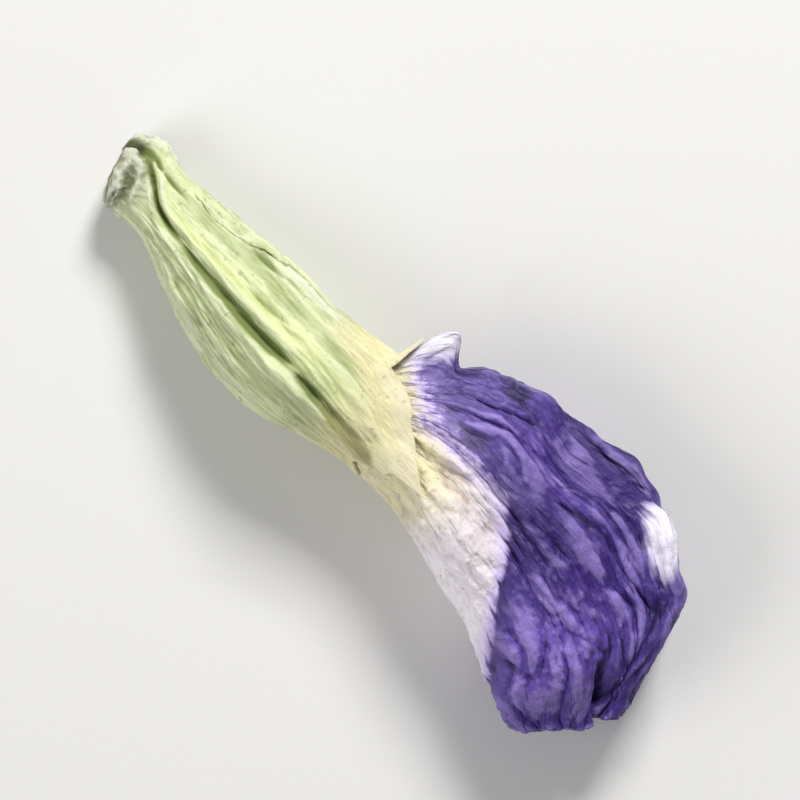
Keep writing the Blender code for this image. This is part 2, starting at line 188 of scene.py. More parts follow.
# Where the pale band along the midrib ends: x, and the y that it reaches there towards the belly.
PALE_X = (13.0, 17.0, 18.9, 22.4, 24.0, 25.2, 26.4, 27.3, 28.2, 29.1, 30.0, 32.0, 36.0)
PALE_Y = (6.5, 4.7, 3.6, 3.5, 3.35, 2.6, 1.3, 0.0, -1.0, -1.9, -2.8, -5.5, -9.0)

# The wings and the keel: along, and the shares across at which their two edges run.
WING = (
    (0.17, 0.67, 0.97), (0.3, 0.66, 0.95), (0.42, 0.67, 0.94), (0.53, 0.63, 0.99),
    (0.6, 0.42, 1.04), (0.7, 0.3, 1.07), (0.79, 0.33, 1.05), (0.87, 0.48, 0.95),
)
KEEL = (
    (0.43, 0.3, 0.52), (0.5, 0.24, 0.56), (0.58, 0.24, 0.6), (0.67, 0.27, 0.58), (0.75, 0.31, 0.5),
)
KEEL_HALF = 0.91
KEEL_BEND = 0.45
KEEL_FOLD_SHARE = 0.28

# The stamen column's route in the flower's middle plane.
COLUMN_X = (6.3, 10.0, 14.0, 18.0, 22.0, 26.0, 29.7)
COLUMN_Y = (0.35, 0.05, 0.02, 0.9, 1.75, 1.4, 1.3)
COLUMN_RADIUS = 0.28
FILAMENT_RADIUS = 0.05
ANTHERS = 10
ANTHER_RADIUS = 0.2
ANTHER_STRETCH = 1.9
ANTHER_SPREAD = 0.42

# The picture's view: looking straight down, turned so that the flower points down to the right.
VIEW_TURN = np.radians(-48.4)
VIEW_HEIGHT = 0.32
VIEW_WIDTH = 0.037


def through(knots, values, at):
    """A smooth line through the values given at the knots: cubic spans that share their slopes."""
    knots = np.asarray(knots, float)
    values = np.asarray(values, float)
    slopes = np.gradient(values, knots)
    at = np.asarray(at, float)
    span = np.clip(np.searchsorted(knots, at, side="right") - 1, 0, len(knots) - 2)
    width = knots[span + 1] - knots[span]
    t = (at - knots[span]) / width
    rise = t * t * (3.0 - 2.0 * t)
    leave = t * (1.0 - t) ** 2 * width
    arrive = t * t * (t - 1.0) * width
    line = values[span] * (1.0 - rise) + values[span + 1] * rise
    return line + slopes[span] * leave + slopes[span + 1] * arrive


def ease(value, start, end):
    """0 before start, 1 after end, and a smooth step between; start may be larger than end."""
    t = np.clip((value - start) / (end - start), 0.0, 1.0)
    return t * t * (3.0 - 2.0 * t)


def share_of(count):
    """So many numbers from 0 to 1, as a column."""
    return np.linspace(0.0, 1.0, count)[:, None]


def bell(value, middle=0.0, reach=1.0, height=1.0):
    """A bell curve: its height at the middle, and a third of that at its reach to both sides."""
    return height * np.exp(-(((value - middle) / reach) ** 2))


def outline(table, at, *columns):
    """A table's columns as smooth lines over its first one, at `at`."""
    table = np.array(table)
    return [through(table[:, 0], table[:, i], at) for i in columns]


def spine_height(x):
    """Height of the flower's middle line over the surface."""
    return through(SPINE_X, SPINE_Z, x)


def noise(u, v, seed, around=64):
    """Gradient noise of about -1 to 1: the random slopes at the four corners of a cell of one unit, blended
    across it. In v it repeats after `around` cells."""
    turns = np.random.default_rng(seed).uniform(0.0, TAU, (64, 64))
    i, j = np.floor(u).astype(int), np.floor(v).astype(int)
    total = 0.0
    for a in (0, 1):
        for b in (0, 1):
            turn = turns[(i + a) % 64, (j + b) % around]
            du, dv = u - i - a, v - j - b
            near_u, near_v = 1.0 - np.abs(du), 1.0 - np.abs(dv)
            weight = near_u**3 * (near_u * (6.0 * near_u - 15.0) + 10.0)
            weight = weight * near_v**3 * (near_v * (6.0 * near_v - 15.0) + 10.0)
            total = total + weight * (np.cos(turn) * du + np.sin(turn) * dv)
    return 1.5 * total


def crests(u, v, seed, around=64):
    """Ridged noise: 1 along thin winding crests, falling to 0 in the hollows between them."""
    return (1.0 - np.minimum(np.abs(2.2 * noise(u, v, seed, around)), 1.0)) ** 1.5


def unit(vectors):
    """Vectors made one long."""
    return vectors / np.maximum(np.linalg.norm(vectors, axis=-1, keepdims=True), 1e-9)


def stand(name, data):
    """A new object of the scene."""
    made = bpy.data.objects.new(name, data)
    bpy.context.scene.collection.objects.link(made)
    return made


def make(name, points, faces, finish, slot, *nodes):
    """A smooth shaded piece from the drawing's points that rides on the flower and replaces the nodes."""
    mesh = bpy.data.meshes.new(name)
    mesh.from_pydata(((points + SHIFT) * MM).tolist(), [], faces)
    mesh.update()
    mesh.shade_smooth()
    mesh.materials.append(finish)
    piece = stand(name, mesh)
    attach(piece, "root")
    if nodes:
        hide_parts(*nodes)
    return piece


def give(piece, shape, **values):
    """Stores one number for each vertex under each name, for the material to read."""
    for name, value in values.items():
        layer = piece.data.attributes.new(name, "FLOAT", "POINT")
        value = np.broadcast_to(value, shape)
        layer.data.foreach_set("value", np.ascontiguousarray(value, dtype=np.float32).ravel())


def quads(rows, columns, closed=False):
    """Faces of a grid of points, row by row; a closed grid joins its last column to its first."""
    index = np.arange(rows * columns).reshape(rows, columns)
    right = np.roll(index, -1, axis=1) if closed else index[:, 1:]
    left = index if closed else index[:, :-1]
    return np.stack([left[:-1], left[1:], right[1:], right[:-1]], axis=-1).reshape(-1, 4).tolist()


def sheet(name, grid, thickness, finish, slot, *nodes):
    """A petal from a grid of points in its middle, given its thickness."""
    rows, columns, _ = grid.shape
    piece = make(name, grid.reshape(-1, 3), quads(rows, columns), finish, slot, *nodes)
    solid = piece.modifiers.new("thickness", "SOLIDIFY")
    solid.thickness = thickness * MM
    solid.offset = 0.0
    solid.use_even_offset = False
    return piece


def petal(name, node, slot, grid, thickness, finish, u, v, **values):
    """A petal's sheet with its values, and a UV map for patterns that follow it."""
    piece = sheet(name, grid, thickness, finish, slot, node)
    shape = grid.shape[:2]
    give(piece, shape, **values)
    corner = np.empty(len(piece.data.loops), dtype=np.int32)
    piece.data.loops.foreach_get("vertex_index", corner)
    both = np.stack([np.broadcast_to(value, shape).ravel() for value in (u, v)], axis=1)[corner]
    layer = piece.data.uv_layers.new(name="surface")
    layer.data.foreach_set("uv", both.astype(np.float32).ravel())


def closed_rings(name, rings, finish, slot, *nodes):
    """A closed body from rings of points in order; its two ends are fans round the rings' middles."""
    rows, columns, _ = rings.shape
    points = np.concatenate([rings.reshape(-1, 3), rings[0].mean(0)[None], rings[-1].mean(0)[None]])
    ring = np.arange(columns)
    after = np.roll(ring, -1)
    centre = rows * columns
    last = centre - columns
    first_fan = np.stack([0 * ring + centre, ring, after], axis=1)
    last_fan = np.stack([0 * ring + centre + 1, after + last, ring + last], axis=1)
    faces = [*quads(rows, columns, closed=True), *first_fan.tolist(), *last_fan.tolist()]
    return make(name, points, faces, finish, slot, *nodes)


# Shapes of the calyx


def lobe_reach(turn):
    """How far past the mouth the rim reaches: five uneven lobes, bowed out and drawn to a point, and between
    them a short rim, or a longer one where two have grown together. One split is moved."""
    number = (turn - bell(turn, *MOVED_SPLIT) - FIRST_LOBE_TURN) / (TAU / LOBES)
    nearest = np.round(number)
    aside = np.abs(number - nearest) * 2.0
    lengths = np.array(LOBE_LENGTHS)[nearest.astype(int) % LOBES]
    rim = RIM
    for at, before, after, length in JOINED_SPLITS:
        rim = rim + bell(turn, at, np.where(turn < at, before, after), length)
    uneven = 1.0 + 0.14 * aside * noise(turn * 40.0 / TAU, 0.5, 12)
    return rim + (lengths - rim) * (1.0 - aside) ** 0.68 * uneven


def calyx_shell(x, turn, wall):
    """Points of the calyx at stations x and turns about its middle line, moved in by wall, and its ribs. A
    ring is two half ellipses with ten narrow ribs; the lobes twist, and the stalk's end is slanted."""
    back, middle, belly, height = outline(CALYX, x, 1, 2, 3, 4)
    ribbed = ease(x, RIB_START_X, RIB_FULL_X) * (1.0 - 0.5 * ease(x, MOUTH_X, 20.0))
    drift = 0.9 * noise(x / 6.0, turn * 5.0 / TAU, 31, 5)
    crest = np.exp(2.2 * (np.cos(RIBS * turn + drift) - 1.0))
    swell = 1.0 + RIB_HEIGHT * ribbed * (crest - 0.15)
    placed = turn - LOBE_TWIST * ease(x, MOUTH_X - 2.0, 23.0)
    across = np.cos(placed)
    half = np.where(across > 0.0, middle - back, belly - middle)
    y = middle - (half * swell - wall) * across
    z = spine_height(x) + (height * swell - wall) * np.sin(placed)
    slant = END_SLANT * (1.0 - ease(x, 0.0, END_SLANT_X))
    return np.stack([x + slant * (belly - y), y, z], axis=-1), crest * ribbed


def crease_line(number, x):
    """Turns of a crease's line at stations x."""
    line_x, line_turn = CREASES[number][:2]
    return through(line_x, line_turn, np.clip(x, line_x[0], line_x[-1]))


def creased(x, turn):
    """Height of the calyx's creases: bells turned down along their lines, shallower at the breaks, with a
    shoulder on each side, the higher one where turns grow."""
    total = 0.0
    for number, (_, _, start, end, depth, half_width) in enumerate(CREASES):
        off = ((turn - crease_line(number, x) + np.pi) % TAU - np.pi) / half_width
        there = depth * ease(x, *start) * (1.0 - ease(x, *end))
        for at, width, share in CREASE_BREAKS:
            there = there * (1.0 - share * bell(x, at, width))
        shoulders = bell(off, 2.1, 1.0, 0.35) + bell(off, -2.1, 1.0, 0.15)
        total = total + there * (shoulders - bell(off))
    return total


def calyx_wrinkles(x, turn):
    """Height of the calyx's wrinkles: creases, fine ones along the ribs, broad dents, and lumps on the knob;
    and the same without the dents."""
    long = crests(x / 3.2, turn * 40.0 / TAU, 5, 40) + 0.5 * crests(x / 1.6, turn * 62.0 / TAU, 6, 62)
    broad = noise(x / 2.6, turn * 9.0 / TAU, 7, 9)
    lump = crests(x / 1.5, turn * 7.0 / TAU, 8, 7) + 0.35 * crests(x / 0.5, turn * 17.0 / TAU, 9, 17)
    knob = 1.0 - ease(x, KNOB_END_X, NECK_END_X)
    body = ease(x, 2.6, 5.0)
    fine = body * 0.095 * (long - 0.5) + creased(x, turn) + knob * 0.26 * (lump - 0.5)
    return fine + body * 0.12 * broad, fine


def middle_line(x):
    """y of the calyx's middle line."""
    return outline(CALYX, x, 2)[0]


def outwards(points, x):
    """Unit vectors away from the calyx's middle line at each point."""
    away = (0.0 * x, points[..., 1] - middle_line(x), points[..., 2] - spine_height(x))
    return unit(np.stack(away, axis=-1))


def around_line(points):
    """Distances and directions of points from the calyx's middle line."""
    back, up = middle_line(points[..., 0]) - points[..., 1], points[..., 2] - spine_height(points[..., 0])
    return np.hypot(back, up), np.arctan2(up, back) % TAU


def petals_reach(petals):
    """How far the petals reach out from the calyx's middle line, for each step in x and in turn: the
    largest there and beside it, then evened out once."""
    reach = np.zeros((REACH_STEPS, REACH_TURNS))
    for grid in petals:
        distance, turn = around_line(grid)
        row = np.round((grid[..., 0] - REACH_START_X) / REACH_STEP).astype(int)
        column = np.round(turn / TAU * REACH_TURNS).astype(int) % REACH_TURNS
        inside = (row >= 0) & (row < REACH_STEPS)
        np.maximum.at(reach, (row[inside], column[inside]), distance[inside])
    reach = np.maximum.reduce([np.roll(reach, step, axis=1) for step in (-1, 0, 1)])
    reach[1:-1] = np.maximum.reduce([reach[:-2], reach[1:-1], reach[2:]])
    return sum(np.roll(reach, step, axis=1) for step in (-1, 0, 1)) / 3.0


def hugged(points, reach, clear):
    """Calyx points drawn in towards the petals, more the farther past the mouth they are, and nowhere
    closer to the petals than clear."""
    x = points[..., 0]
    distance, turn = around_line(points)
    row = np.clip((x - REACH_START_X) / REACH_STEP, 0.0, REACH_STEPS - 1.001)
    column = turn / TAU * REACH_TURNS
    i, j = row.astype(int), column.astype(int)
    a, b = row - i, column - j
    left, right = j % REACH_TURNS, (j + 1) % REACH_TURNS
    near, far = (reach[step, left] * (1.0 - b) + reach[step, right] * b for step in (i, i + 1))
    beyond = np.clip((x - MOUTH_X + 1.0) / LOBE_HUG_LENGTH, 0.0, 1.0)
    goal = distance - LOBE_HUG * beyond**1.4
    share = np.maximum(goal, near * (1.0 - a) + far * a + clear) / np.maximum(distance, 1e-6)
    share = 1.0 + (share - 1.0) * ease(x, MOUTH_X - 1.0, MOUTH_X + 0.4)
    out = points.copy()
    for axis, line in ((1, middle_line(x)), (2, spine_height(x))):
        out[..., axis] = line + (points[..., axis] - line) * share
    return out


def wrinkled_skin(x, turn, wall, tip):
    """The calyx's skin with its wrinkles, half as high at the lobes' tips; its ribs; its fine wrinkles."""
    points, crest = calyx_shell(x, turn, wall)
    wrinkles, fine = calyx_wrinkles(x, turn)
    return points + outwards(points, x) * (wrinkles * (1.0 - 0.5 * tip))[..., None], crest, fine


def calyx_tints(x, turn):
    """How far the calyx has aged, which is x with the neck and the belly side's end ahead; its painted
    highlight on the ridge beside the long crease; and its painted highlights along the belly and back edges."""
    aged = x + 2.8 * ease(x, 9.5, 13.5) * ease(np.abs(turn - 2.8), 0.8, 0.35)
    neck = ease(x, 0.5, 1.3) * (1.0 - ease(x, 3.5, 5.0))
    aged = aged + 1.6 * neck * ease(np.abs(turn - 2.65), 0.9, 0.45)
    # Painted highlight on the ridge beside the long crease.
    painted_ridge_highlight = bell(turn - crease_line(0, x), 0.36, 0.17) * ease(x, 2.5, 5.0)
    # Painted highlights along the belly and back edges, where the calyx turns away.
    painted_edge_highlight = bell(turn, 2.88, 0.2) * ease(x, 5.0, 8.0)
    painted_edge_highlight = painted_edge_highlight + bell(turn, 0.28, 0.18, 0.6) * ease(x, 2.5, 4.5)
    return aged, painted_ridge_highlight, painted_edge_highlight * (1.0 - ease(x, 12.5, 15.0))


def calyx(finish, petals):
    """The calyx with its knob: an outer skin from the stalk's scar to the lobes' tips and an inner skin back
    to the cup's floor, as one closed grid of rings. Its lobes hug the petals."""
    turn = np.arange(CALYX_COLUMNS)[None] * TAU / CALYX_COLUMNS
    round_it = 0.0 * turn
    body = STALK_END_X + (MOUTH_X - STALK_END_X) * share_of(128) ** 1.15 + round_it
    share = share_of(50)[1:] + round_it
    lobes_x = MOUTH_X + lobe_reach(turn) * share
    cup_x = np.linspace(MOUTH_X, FLOOR_X, 24)[:, None] + round_it
    outer_x = np.concatenate([body, lobes_x])
    inner_x = np.concatenate([lobes_x[::-2], cup_x])
    tip = np.concatenate([0.0 * body, share])
    inner_tip = np.concatenate([share[::-2], 0.0 * cup_x])

    outer, crest, fine = wrinkled_skin(outer_x, turn, 0.0, tip)
    wall = CALYX_WALL + (LOBE_WALL - CALYX_WALL) * ease(inner_tip, 0.0, 0.5)
    inner = wrinkled_skin(inner_x, turn, wall, inner_tip)[0]
    outer[..., 0] += SCAR_DEPTH * (1.0 - ease(outer_x, STALK_END_X, 0.42))
    reach = petals_reach(petals)
    outer = hugged(outer, reach, LOBE_CLEAR + LOBE_WALL)
    inner = hugged(inner, reach, LOBE_CLEAR)
    rings = np.concatenate([outer, inner])
    rings[..., 2] = np.maximum(rings[..., 2], 0.01)
    piece = closed_rings("calyx_skin", rings, finish, "calyx_green", "calyx")

    aged, painted_ridge_highlight, painted_edge_highlight = calyx_tints(outer_x, turn)
    nothing = 0.0 * inner_x
    pairs = dict(
        painted_ridge_highlight=(painted_ridge_highlight, nothing), painted_edge_highlight=(painted_edge_highlight, nothing), rib=(crest, nothing), wrinkle=(fine, nothing),
        station=(aged, inner_x), tip=(tip, inner_tip), inside=(0.0 * outer_x, 1.0 + nothing),
    )
    for name, pair in pairs.items():
        # The body's two end points get their ring's mean.
        values = np.concatenate(pair)
        values = np.concatenate([values.ravel(), [values[0].mean(), values[-1].mean()]])
        give(piece, values.shape, **{name: values})


def bracteole(number, turn, finish):
    """A pointed scale that hugs the calyx's foot: its width is a sine bow, and its tip lifts off."""
    along = share_of(60)
    across = np.linspace(-1.0, 1.0, 41)[None]
    x = BRACTEOLE_START_X + BRACTEOLE_LENGTH * along + 0.0 * across
    width = BRACTEOLE_WIDTH * np.sin(np.pi * (0.16 + 0.838 * along)) ** 0.9
    turns = turn + across * width / (2.0 * BRACTEOLE_RADIUS)
    rough = 0.05 * crests(along * 4.0, across * 3.0, 40 + number)
    keeled = bell(across, 0.0, 0.14, 0.06) * (1.0 - along)
    lift = 0.13 * ease(along, 0.0, 0.22) - 0.1 + BRACTEOLE_LIFT * along**3 + rough + keeled
    points = calyx_shell(x, turns, 0.0)[0]
    points = points + outwards(points, x) * (lift + calyx_wrinkles(x, turns)[0])[..., None]
    points[..., 2] = np.maximum(points[..., 2], 0.1)
    piece = sheet(f"bracteole_{number}", points, BRACTEOLE_WALL, finish, "calyx_green")
    give(piece, x.shape, rib=0.5 + 0.3 * np.cos(9.0 * across), station=x + 6.0 * along**2)
    give(piece, x.shape, tip=0.25 * along**2, wrinkle=rough - 0.03, inside=0.0)


# Shapes of the petals


def cross_section(across, bend_end=FOLD_BEND, fold_share=FOLD_SHARE):
    """A folded petal's section: shares of its width and of its half height, and how far past the fold,
    which is a quarter of an ellipse."""
    bend = np.clip(across / bend_end, 0.0, 1.0) * np.pi / 2.0
    rest = np.maximum((across - bend_end) / (1.0 - bend_end), 0.0)
    return fold_share * (1.0 - np.cos(bend)) + (1.0 - fold_share) * rest, np.sin(bend), rest


def both_leaves(under, upper):
    """Two leaves' rows joined at the fold, from the under leaf's margin to the upper one's."""
    return np.concatenate([under[:, :0:-1], upper], axis=1)


def pleats(along, across, x, y, side):
    """Height of a leaf's soft folds: pleats along the veins and a few waves across them, faded out towards
    the fold and the calyx, and on the under leaf round the spot it rests on."""
    phase = 0.7 if side > 0 else 2.6
    swing = PLEAT_SWING * np.sin(TAU * along + phase)
    lengthwise = np.sin(TAU * (PLEATS_ACROSS * across + swing) + phase)
    crosswise = WAVE_SHARE * np.sin(TAU * (WAVES_ALONG * along + 0.9 * across) + 2.0 * phase)
    grow = ease(along, 0.36, 0.62) * (0.3 + 0.7 * across)
    height = PLEAT_HEIGHT * grow * (lengthwise + crosswise)
    if side < 0:
        height = height * (1.0 - bell(x, *REST_X) * bell(y, *REST_Y))
    return height


def blade(along, across):
    """x and y of a petal's flat middle at shares along and across, with the section's three shares."""
    fold_x, fold_y, margin_x, margin_y = outline(STANDARD, along, 1, 2, 3, 4)
    width, bend, rest = cross_section(across)
    return fold_x + (margin_x - fold_x) * width, fold_y + (margin_y - fold_y) * width, width, bend, rest


def standard_leaf(along, across, side):
    """x, y and height off the middle plane of the standard's upper (side 1) or under (side -1) leaf."""
    height, left = outline(STANDARD, along, 5, 6)
    x, y, width, bend, rest = blade(along, across)
    x = x + END_BOW * ease(along, 0.75, 1.0) * np.sin(np.pi * width)
    frill = FRILL_HEIGHT * ease(along, 0.45, 0.6) * across**2
    y = y + frill * np.sin(TAU * FRILL_WAVES * along + (0.0 if side > 0 else 1.7))
    share = bend * (1.0 - (1.0 - left) * np.minimum(rest, 1.15) ** 3)
    lift = height * share + bend * pleats(along, across, x, y, side)
    return x, y, lift


def sway(along, across):
    """How far the thin belly sides of all the petals have warped together, up or down."""
    there = SWAY * ease(across, 0.35, 1.0) * ease(along, 0.35, 0.6)
    return there * noise(along * 3.4 + 0.2, across * 1.3 + 0.6, 60)


def crinkle(along, across, seed):
    """Height of a dried petal's crinkles, and the same without the soft dents: ridges and creases along the
    veins, a few at a slant, and short puckers, weaker on the smooth midrib."""
    u, v = along * BLADE_LENGTH, across * VEIN_WIDTH
    bent = v + 0.9 * noise(u / 5.0, v / 3.0, seed) + 0.22 * noise(u / 1.5, v / 1.2, seed + 1)
    long = crests(u / 5.5, bent / 1.5, seed + 2)
    folded = crests(u / 4.5, bent / 1.2, seed + 3)
    slant = crests(u / 2.4 + 0.5 * bent, bent / 2.2, seed + 4)
    narrow = crests(u / 2.2, bent / 0.55, seed + 10) * ease(along, 0.42, 0.6)
    pucker = crests(u / 0.75, v / 0.5, seed + 5)
    soft = noise(u / 4.0, v / 2.3, seed + 6)
    smooth = np.minimum(ease(np.abs(across), 0.42, 0.18), ease(along, 0.84, 0.72))
    there = ease(along, 0.3, 0.52) * (1.0 - 0.55 * smooth)
    fine = there * (0.2 * long - 0.24 * folded + 0.1 * slant + 0.09 * narrow + 0.07 * pucker - 0.05)
    return fine + there * (0.24 * soft - 0.02) + 0.02 * (pucker - 0.4), fine


def end_fold(along, across, fold_at, upper):
    """1 in the notch of the deep fold at a leaf's end; and where the leaf is sunk, in that fold and in the
    upper leaf's short crease."""
    notch = bell(across - fold_at + 1.0, along, 0.05)
    at_along, at_across = SHORT_CREASE
    off = across - at_across - 0.8 * (along - at_along)
    short = bell(along, at_along, 0.022) * bell(off, 0.0, 0.02) * upper
    return notch, ease(along, 0.84, 0.9) * notch + 0.6 * short


def standard_side(along, shares, side, fold_at, seed):
    """One leaf of the standard: its points, its relief's height, the fine part of that, and 1 on the corner
    that turned out. Its margin is ragged and rolled, its end closes towards the middle plane, and the
    upper one's margin is drawn in, turned out and hemmed."""
    upper = float(side > 0)
    ragged = 1.0 + 0.018 * noise(along * 30.0, 0.4, seed + 9) * ease(shares, 0.8, 1.0)
    x, y, lift = standard_leaf(along, shares * ragged, side)
    y = y - bell(x, *MARGIN_IN) * ease(shares, 0.5, 1.0) * upper
    y = y + bell(x, *HEM_OUT) * ease(shares, 0.82, 1.0) * upper
    notch, sunk = end_fold(along, shares, fold_at, upper)
    x = x - ease(along, 0.92, 1.0) * (0.75 * notch + 0.35 * noise(6.0 * shares, 0.3, seed + 8))
    closing = END_CLOSE * ease(along, 0.88, 1.0)
    lift = lift * (1.0 - closing * (1.0 + 0.35 * noise(7.0 * shares, 0.0, seed)))
    height, fine = crinkle(along, side * shares, seed)
    roll = 0.4 * ease(shares, 0.86, 1.0) ** 2 * noise(along * 8.0, 0.7, seed + 7)
    hem = bell(x, *HEM_ROLL) * bell(shares, 0.955, 0.045) * upper
    height = height - 0.4 * sunk + roll + hem
    torn = FLAP_HALF * (1.0 + 0.5 * noise(9.0 * shares, 0.2, seed + 11))
    flap = np.exp(-(np.abs((along - FLAP_ALONG) / torn) ** 3)) * ease(shares, 0.8, 1.0) * upper
    z = spine_height(x) + side * lift + sway(along, shares) + FLAP_UP * flap**2
    return np.stack([x - 0.4 * flap, y + FLAP_OUT * flap, z], axis=-1), height, fine - 0.3 * sunk, flap


def standard(finish):
    """The big petal: both leaves on one grid over the fold, moved out along its normals to the thick
    blade's outer face and crinkled, and pressed flat where it lies on the surface."""
    along = share_of(STANDARD_ROWS)
    over_fold = np.linspace(0.0, FOLD_BEND, FOLD_COLUMNS)
    shares = np.concatenate([over_fold, np.linspace(FOLD_BEND, 1.0, FLAT_COLUMNS + 1)[1:]])[None]
    under = standard_side(along, shares, -1, 0.45, 90)
    grid, height, fine, flap = map(both_leaves, under, standard_side(along, shares, 1, 0.6, 80))
    normals = unit(np.cross(np.gradient(grid, axis=0), np.gradient(grid, axis=1)))
    grid = grid + normals * (0.5 * (CAD_BLADE - PETAL) + height)[..., None]
    grid[..., 2] = np.maximum(grid[..., 2], 0.5 * PETAL + 0.01 + 0.03 * (height + 0.1))
    signed = both_leaves(-shares, shares)
    pale = through(PALE_X, PALE_Y, grid[..., 0]) - grid[..., 1]
    margin = np.minimum((1.0 - np.abs(signed)) * BLADE_WIDTH, (1.0 - along) * BLADE_LENGTH)
    past = np.clip(grid[..., 0] - HEM_OUT[0], -3.0, 3.0)
    off = (signed - 0.965 + 0.01 * past) / (0.074 - 0.018 * past)
    rolled = np.maximum(bell(past, 0.0, 1.85) * bell(off), flap)
    petal(
        "standard_petal_skin", "standard_petal", "standard_violet", grid, PETAL, finish, along, signed,
        pale=pale, fine=fine, margin=margin, along=along, rolled=rolled,
    )
    return grid


def core_half(along, across):
    """Half the thickness of what lies between the wings: the keel's, and past it half a gap less than
    nothing, since there each wing has only to clear the other."""
    edge = outline(KEEL, np.clip(along, KEEL[0][0], KEEL[-1][0]), 2)[0]
    within = 1.0 - ease(across, edge + 0.04, edge + 0.24)
    within = within * ease(along, 0.47, 0.55) * (1.0 - ease(along, 0.76, 0.84))
    return (KEEL_HALF + CAD_BLADE / 2.0 + GAP / 2.0) * within - GAP / 2.0


def wing(name, node, side, seed, finish):
    """A wing petal: a narrow claw down into the calyx and a blade between the keel and the standard."""
    along = np.linspace(WING[0][0], WING[-1][0], 200)[:, None]
    near, far = outline(WING, along, 1, 2)
    share = share_of(90).T
    far = far + 0.03 * noise(along * 26.0, 0.6, seed + 9) + 0.05 * noise(along * 9.0, 0.3, seed + 12)
    across = near + (far - near) * share
    x, y, lift = standard_leaf(along, across, side)
    height = 0.5 * (core_half(along, across) + lift - CAD_BLADE / 2.0)
    height = np.maximum(height, 0.5 * (CAD_BLADE + GAP))
    rough, fine = crinkle(along, across, seed)
    warp = 0.16 * noise(along * 7.0, across * 2.0, seed + 8) * ease(across, 0.5, 1.0)
    height = height + np.clip(0.7 * rough + warp, -0.26, 0.26)
    grid = np.stack([x, y, spine_height(x) + side * height + sway(along, across)], axis=-1)
    edge = np.minimum(share, 1.0 - share) * (far - near) * 9.0
    edge = np.minimum(edge, (along[-1] - along) * BLADE_LENGTH)
    petal(
        name, node, "wing_violet", grid, INNER_PETAL, finish, along, across,
        pale=(0.44 - along) * BLADE_LENGTH, fine=fine, margin=edge, along=along, rolled=0.0,
    )
    return grid


def keel(finish):
    """The keel: two small petals joined along the belly edge, a hairpin that narrows towards the claw."""
    along = np.linspace(KEEL[0][0], KEEL[-1][0], 110)[:, None]
    open_edge, fold_edge = outline(KEEL, along, 1, 2)
    turn = share_of(60).T
    shift, bend, _ = cross_section(turn, KEEL_BEND, KEEL_FOLD_SHARE)
    across = fold_edge + (open_edge - fold_edge) * shift
    x, y = blade(along, across)[:2]
    halves = []
    for side in (-1, 1):
        rough, fine = crinkle(along, across, 130 + side)
        height = (KEEL_HALF + 0.5 * rough) * bend * (0.5 + 0.5 * ease(along, 0.43, 0.53))
        z = spine_height(x) + side * height + sway(along, across)
        halves.append((np.stack([x, y, z], axis=-1), fine))
    grid, fine = map(both_leaves, *halves)
    where = ("keel_skin", "keel_petals", "keel_cream", grid, INNER_PETAL, finish)
    petal(*where, along, both_leaves(-turn, turn), pale=(0.7 - along) * BLADE_LENGTH, fine=fine)


def route(at):
    """Points of the stamen column's route in the flower's middle plane, at knot numbers `at`."""
    x, y = (through(np.arange(len(COLUMN_X)), line, at) for line in (COLUMN_X, COLUMN_Y))
    return np.stack([x, y, spine_height(x)], axis=-1)


def tube(path, radius, columns, ripple, waves):
    """Rings of a rod along a path; its radius swells by `ripple` in so many waves round it."""
    heading = unit(np.gradient(path, axis=0))
    aside = unit(np.cross((0.0, 0.0, 1.0), heading))
    over = np.cross(aside, heading)
    turn = np.arange(columns) * TAU / columns
    around = np.cos(turn)[None, :, None] * aside[:, None] + np.sin(turn)[None, :, None] * over[:, None]
    size = radius[:, None] * (1.0 + ripple * np.cos(waves * turn)[None])
    return path[:, None] + size[..., None] * around


def stamens(finish):
    """The sheath of joined filaments with nine ridges, the style, and round it ten short filaments, each
    with an anther."""
    end = len(COLUMN_X) - 1.0
    radius = np.full(90, COLUMN_RADIUS)
    radius[-3:] *= (0.95, 0.8, 0.55)
    sheath = tube(route(np.linspace(0.0, end - 0.35, 90)), radius, 36, 0.1, 9)
    closed_rings("stamen_sheath", sheath, finish, "stamen_cream", "stamen_column")
    style = route(np.linspace(end - 0.5, end, 20)) + share_of(20) ** 2 * (0.9, 0.25, 0.1)
    pieces = {"style": tube(style, np.linspace(0.1, 0.07, 20), 10, 0.0, 1)}
    start, tip = route(np.array([end - 0.4, end]))
    share = share_of(12)
    slope = np.linspace(-0.94, 0.94, 14) * np.pi / 2.0
    length = ANTHER_STRETCH * np.sin(slope)[:, None] * (ANTHER_RADIUS, 0.0, 0.0)
    for i in range(ANTHERS):
        angle = TAU * i / ANTHERS
        wide = ANTHER_SPREAD * (1.0 if i % 2 else 0.55)
        goal = tip + np.array((0.45 * np.cos(3.0 * angle), wide * np.cos(angle), wide * np.sin(angle)))
        line = start + (goal - start) * share + np.sin(np.pi * share) * (0.0, 0.0, 0.12)
        pieces[f"filament_{i + 1}"] = tube(line, np.full(12, FILAMENT_RADIUS), 8, 0.0, 1)
        pieces[f"anther_{i + 1}"] = tube(goal + length, ANTHER_RADIUS * np.cos(slope), 20, 0.16, 4)
    for name, rings in pieces.items():
        closed_rings(name, rings, finish, "stamen_cream")


# Materials


class Value:
    """A number socket that takes part in Python expressions; each operator adds one Math node."""

    def __init__(self, paint, socket):
        self.paint = paint
        self.socket = socket

    def __add__(self, other):
        return self.paint.math("ADD", self, other)

    def __sub__(self, other):
        return self.paint.math("SUBTRACT", self, other)

    def __rsub__(self, other):
        return self.paint.math("SUBTRACT", other, self)

    def __mul__(self, other):
        return self.paint.math("MULTIPLY", self, other)

    __radd__ = __add__
    __rmul__ = __mul__


def srgb(red, green, blue):
    """A colour given as 0 to 255 on a screen, as the linear colour that a shader takes."""
    values = np.array((red, green, blue)) / 255.0
    linear = np.where(values <= 0.04045, values / 12.92, ((values + 0.055) / 1.055) ** 2.4)
    return (*linear.tolist(), 1.0)


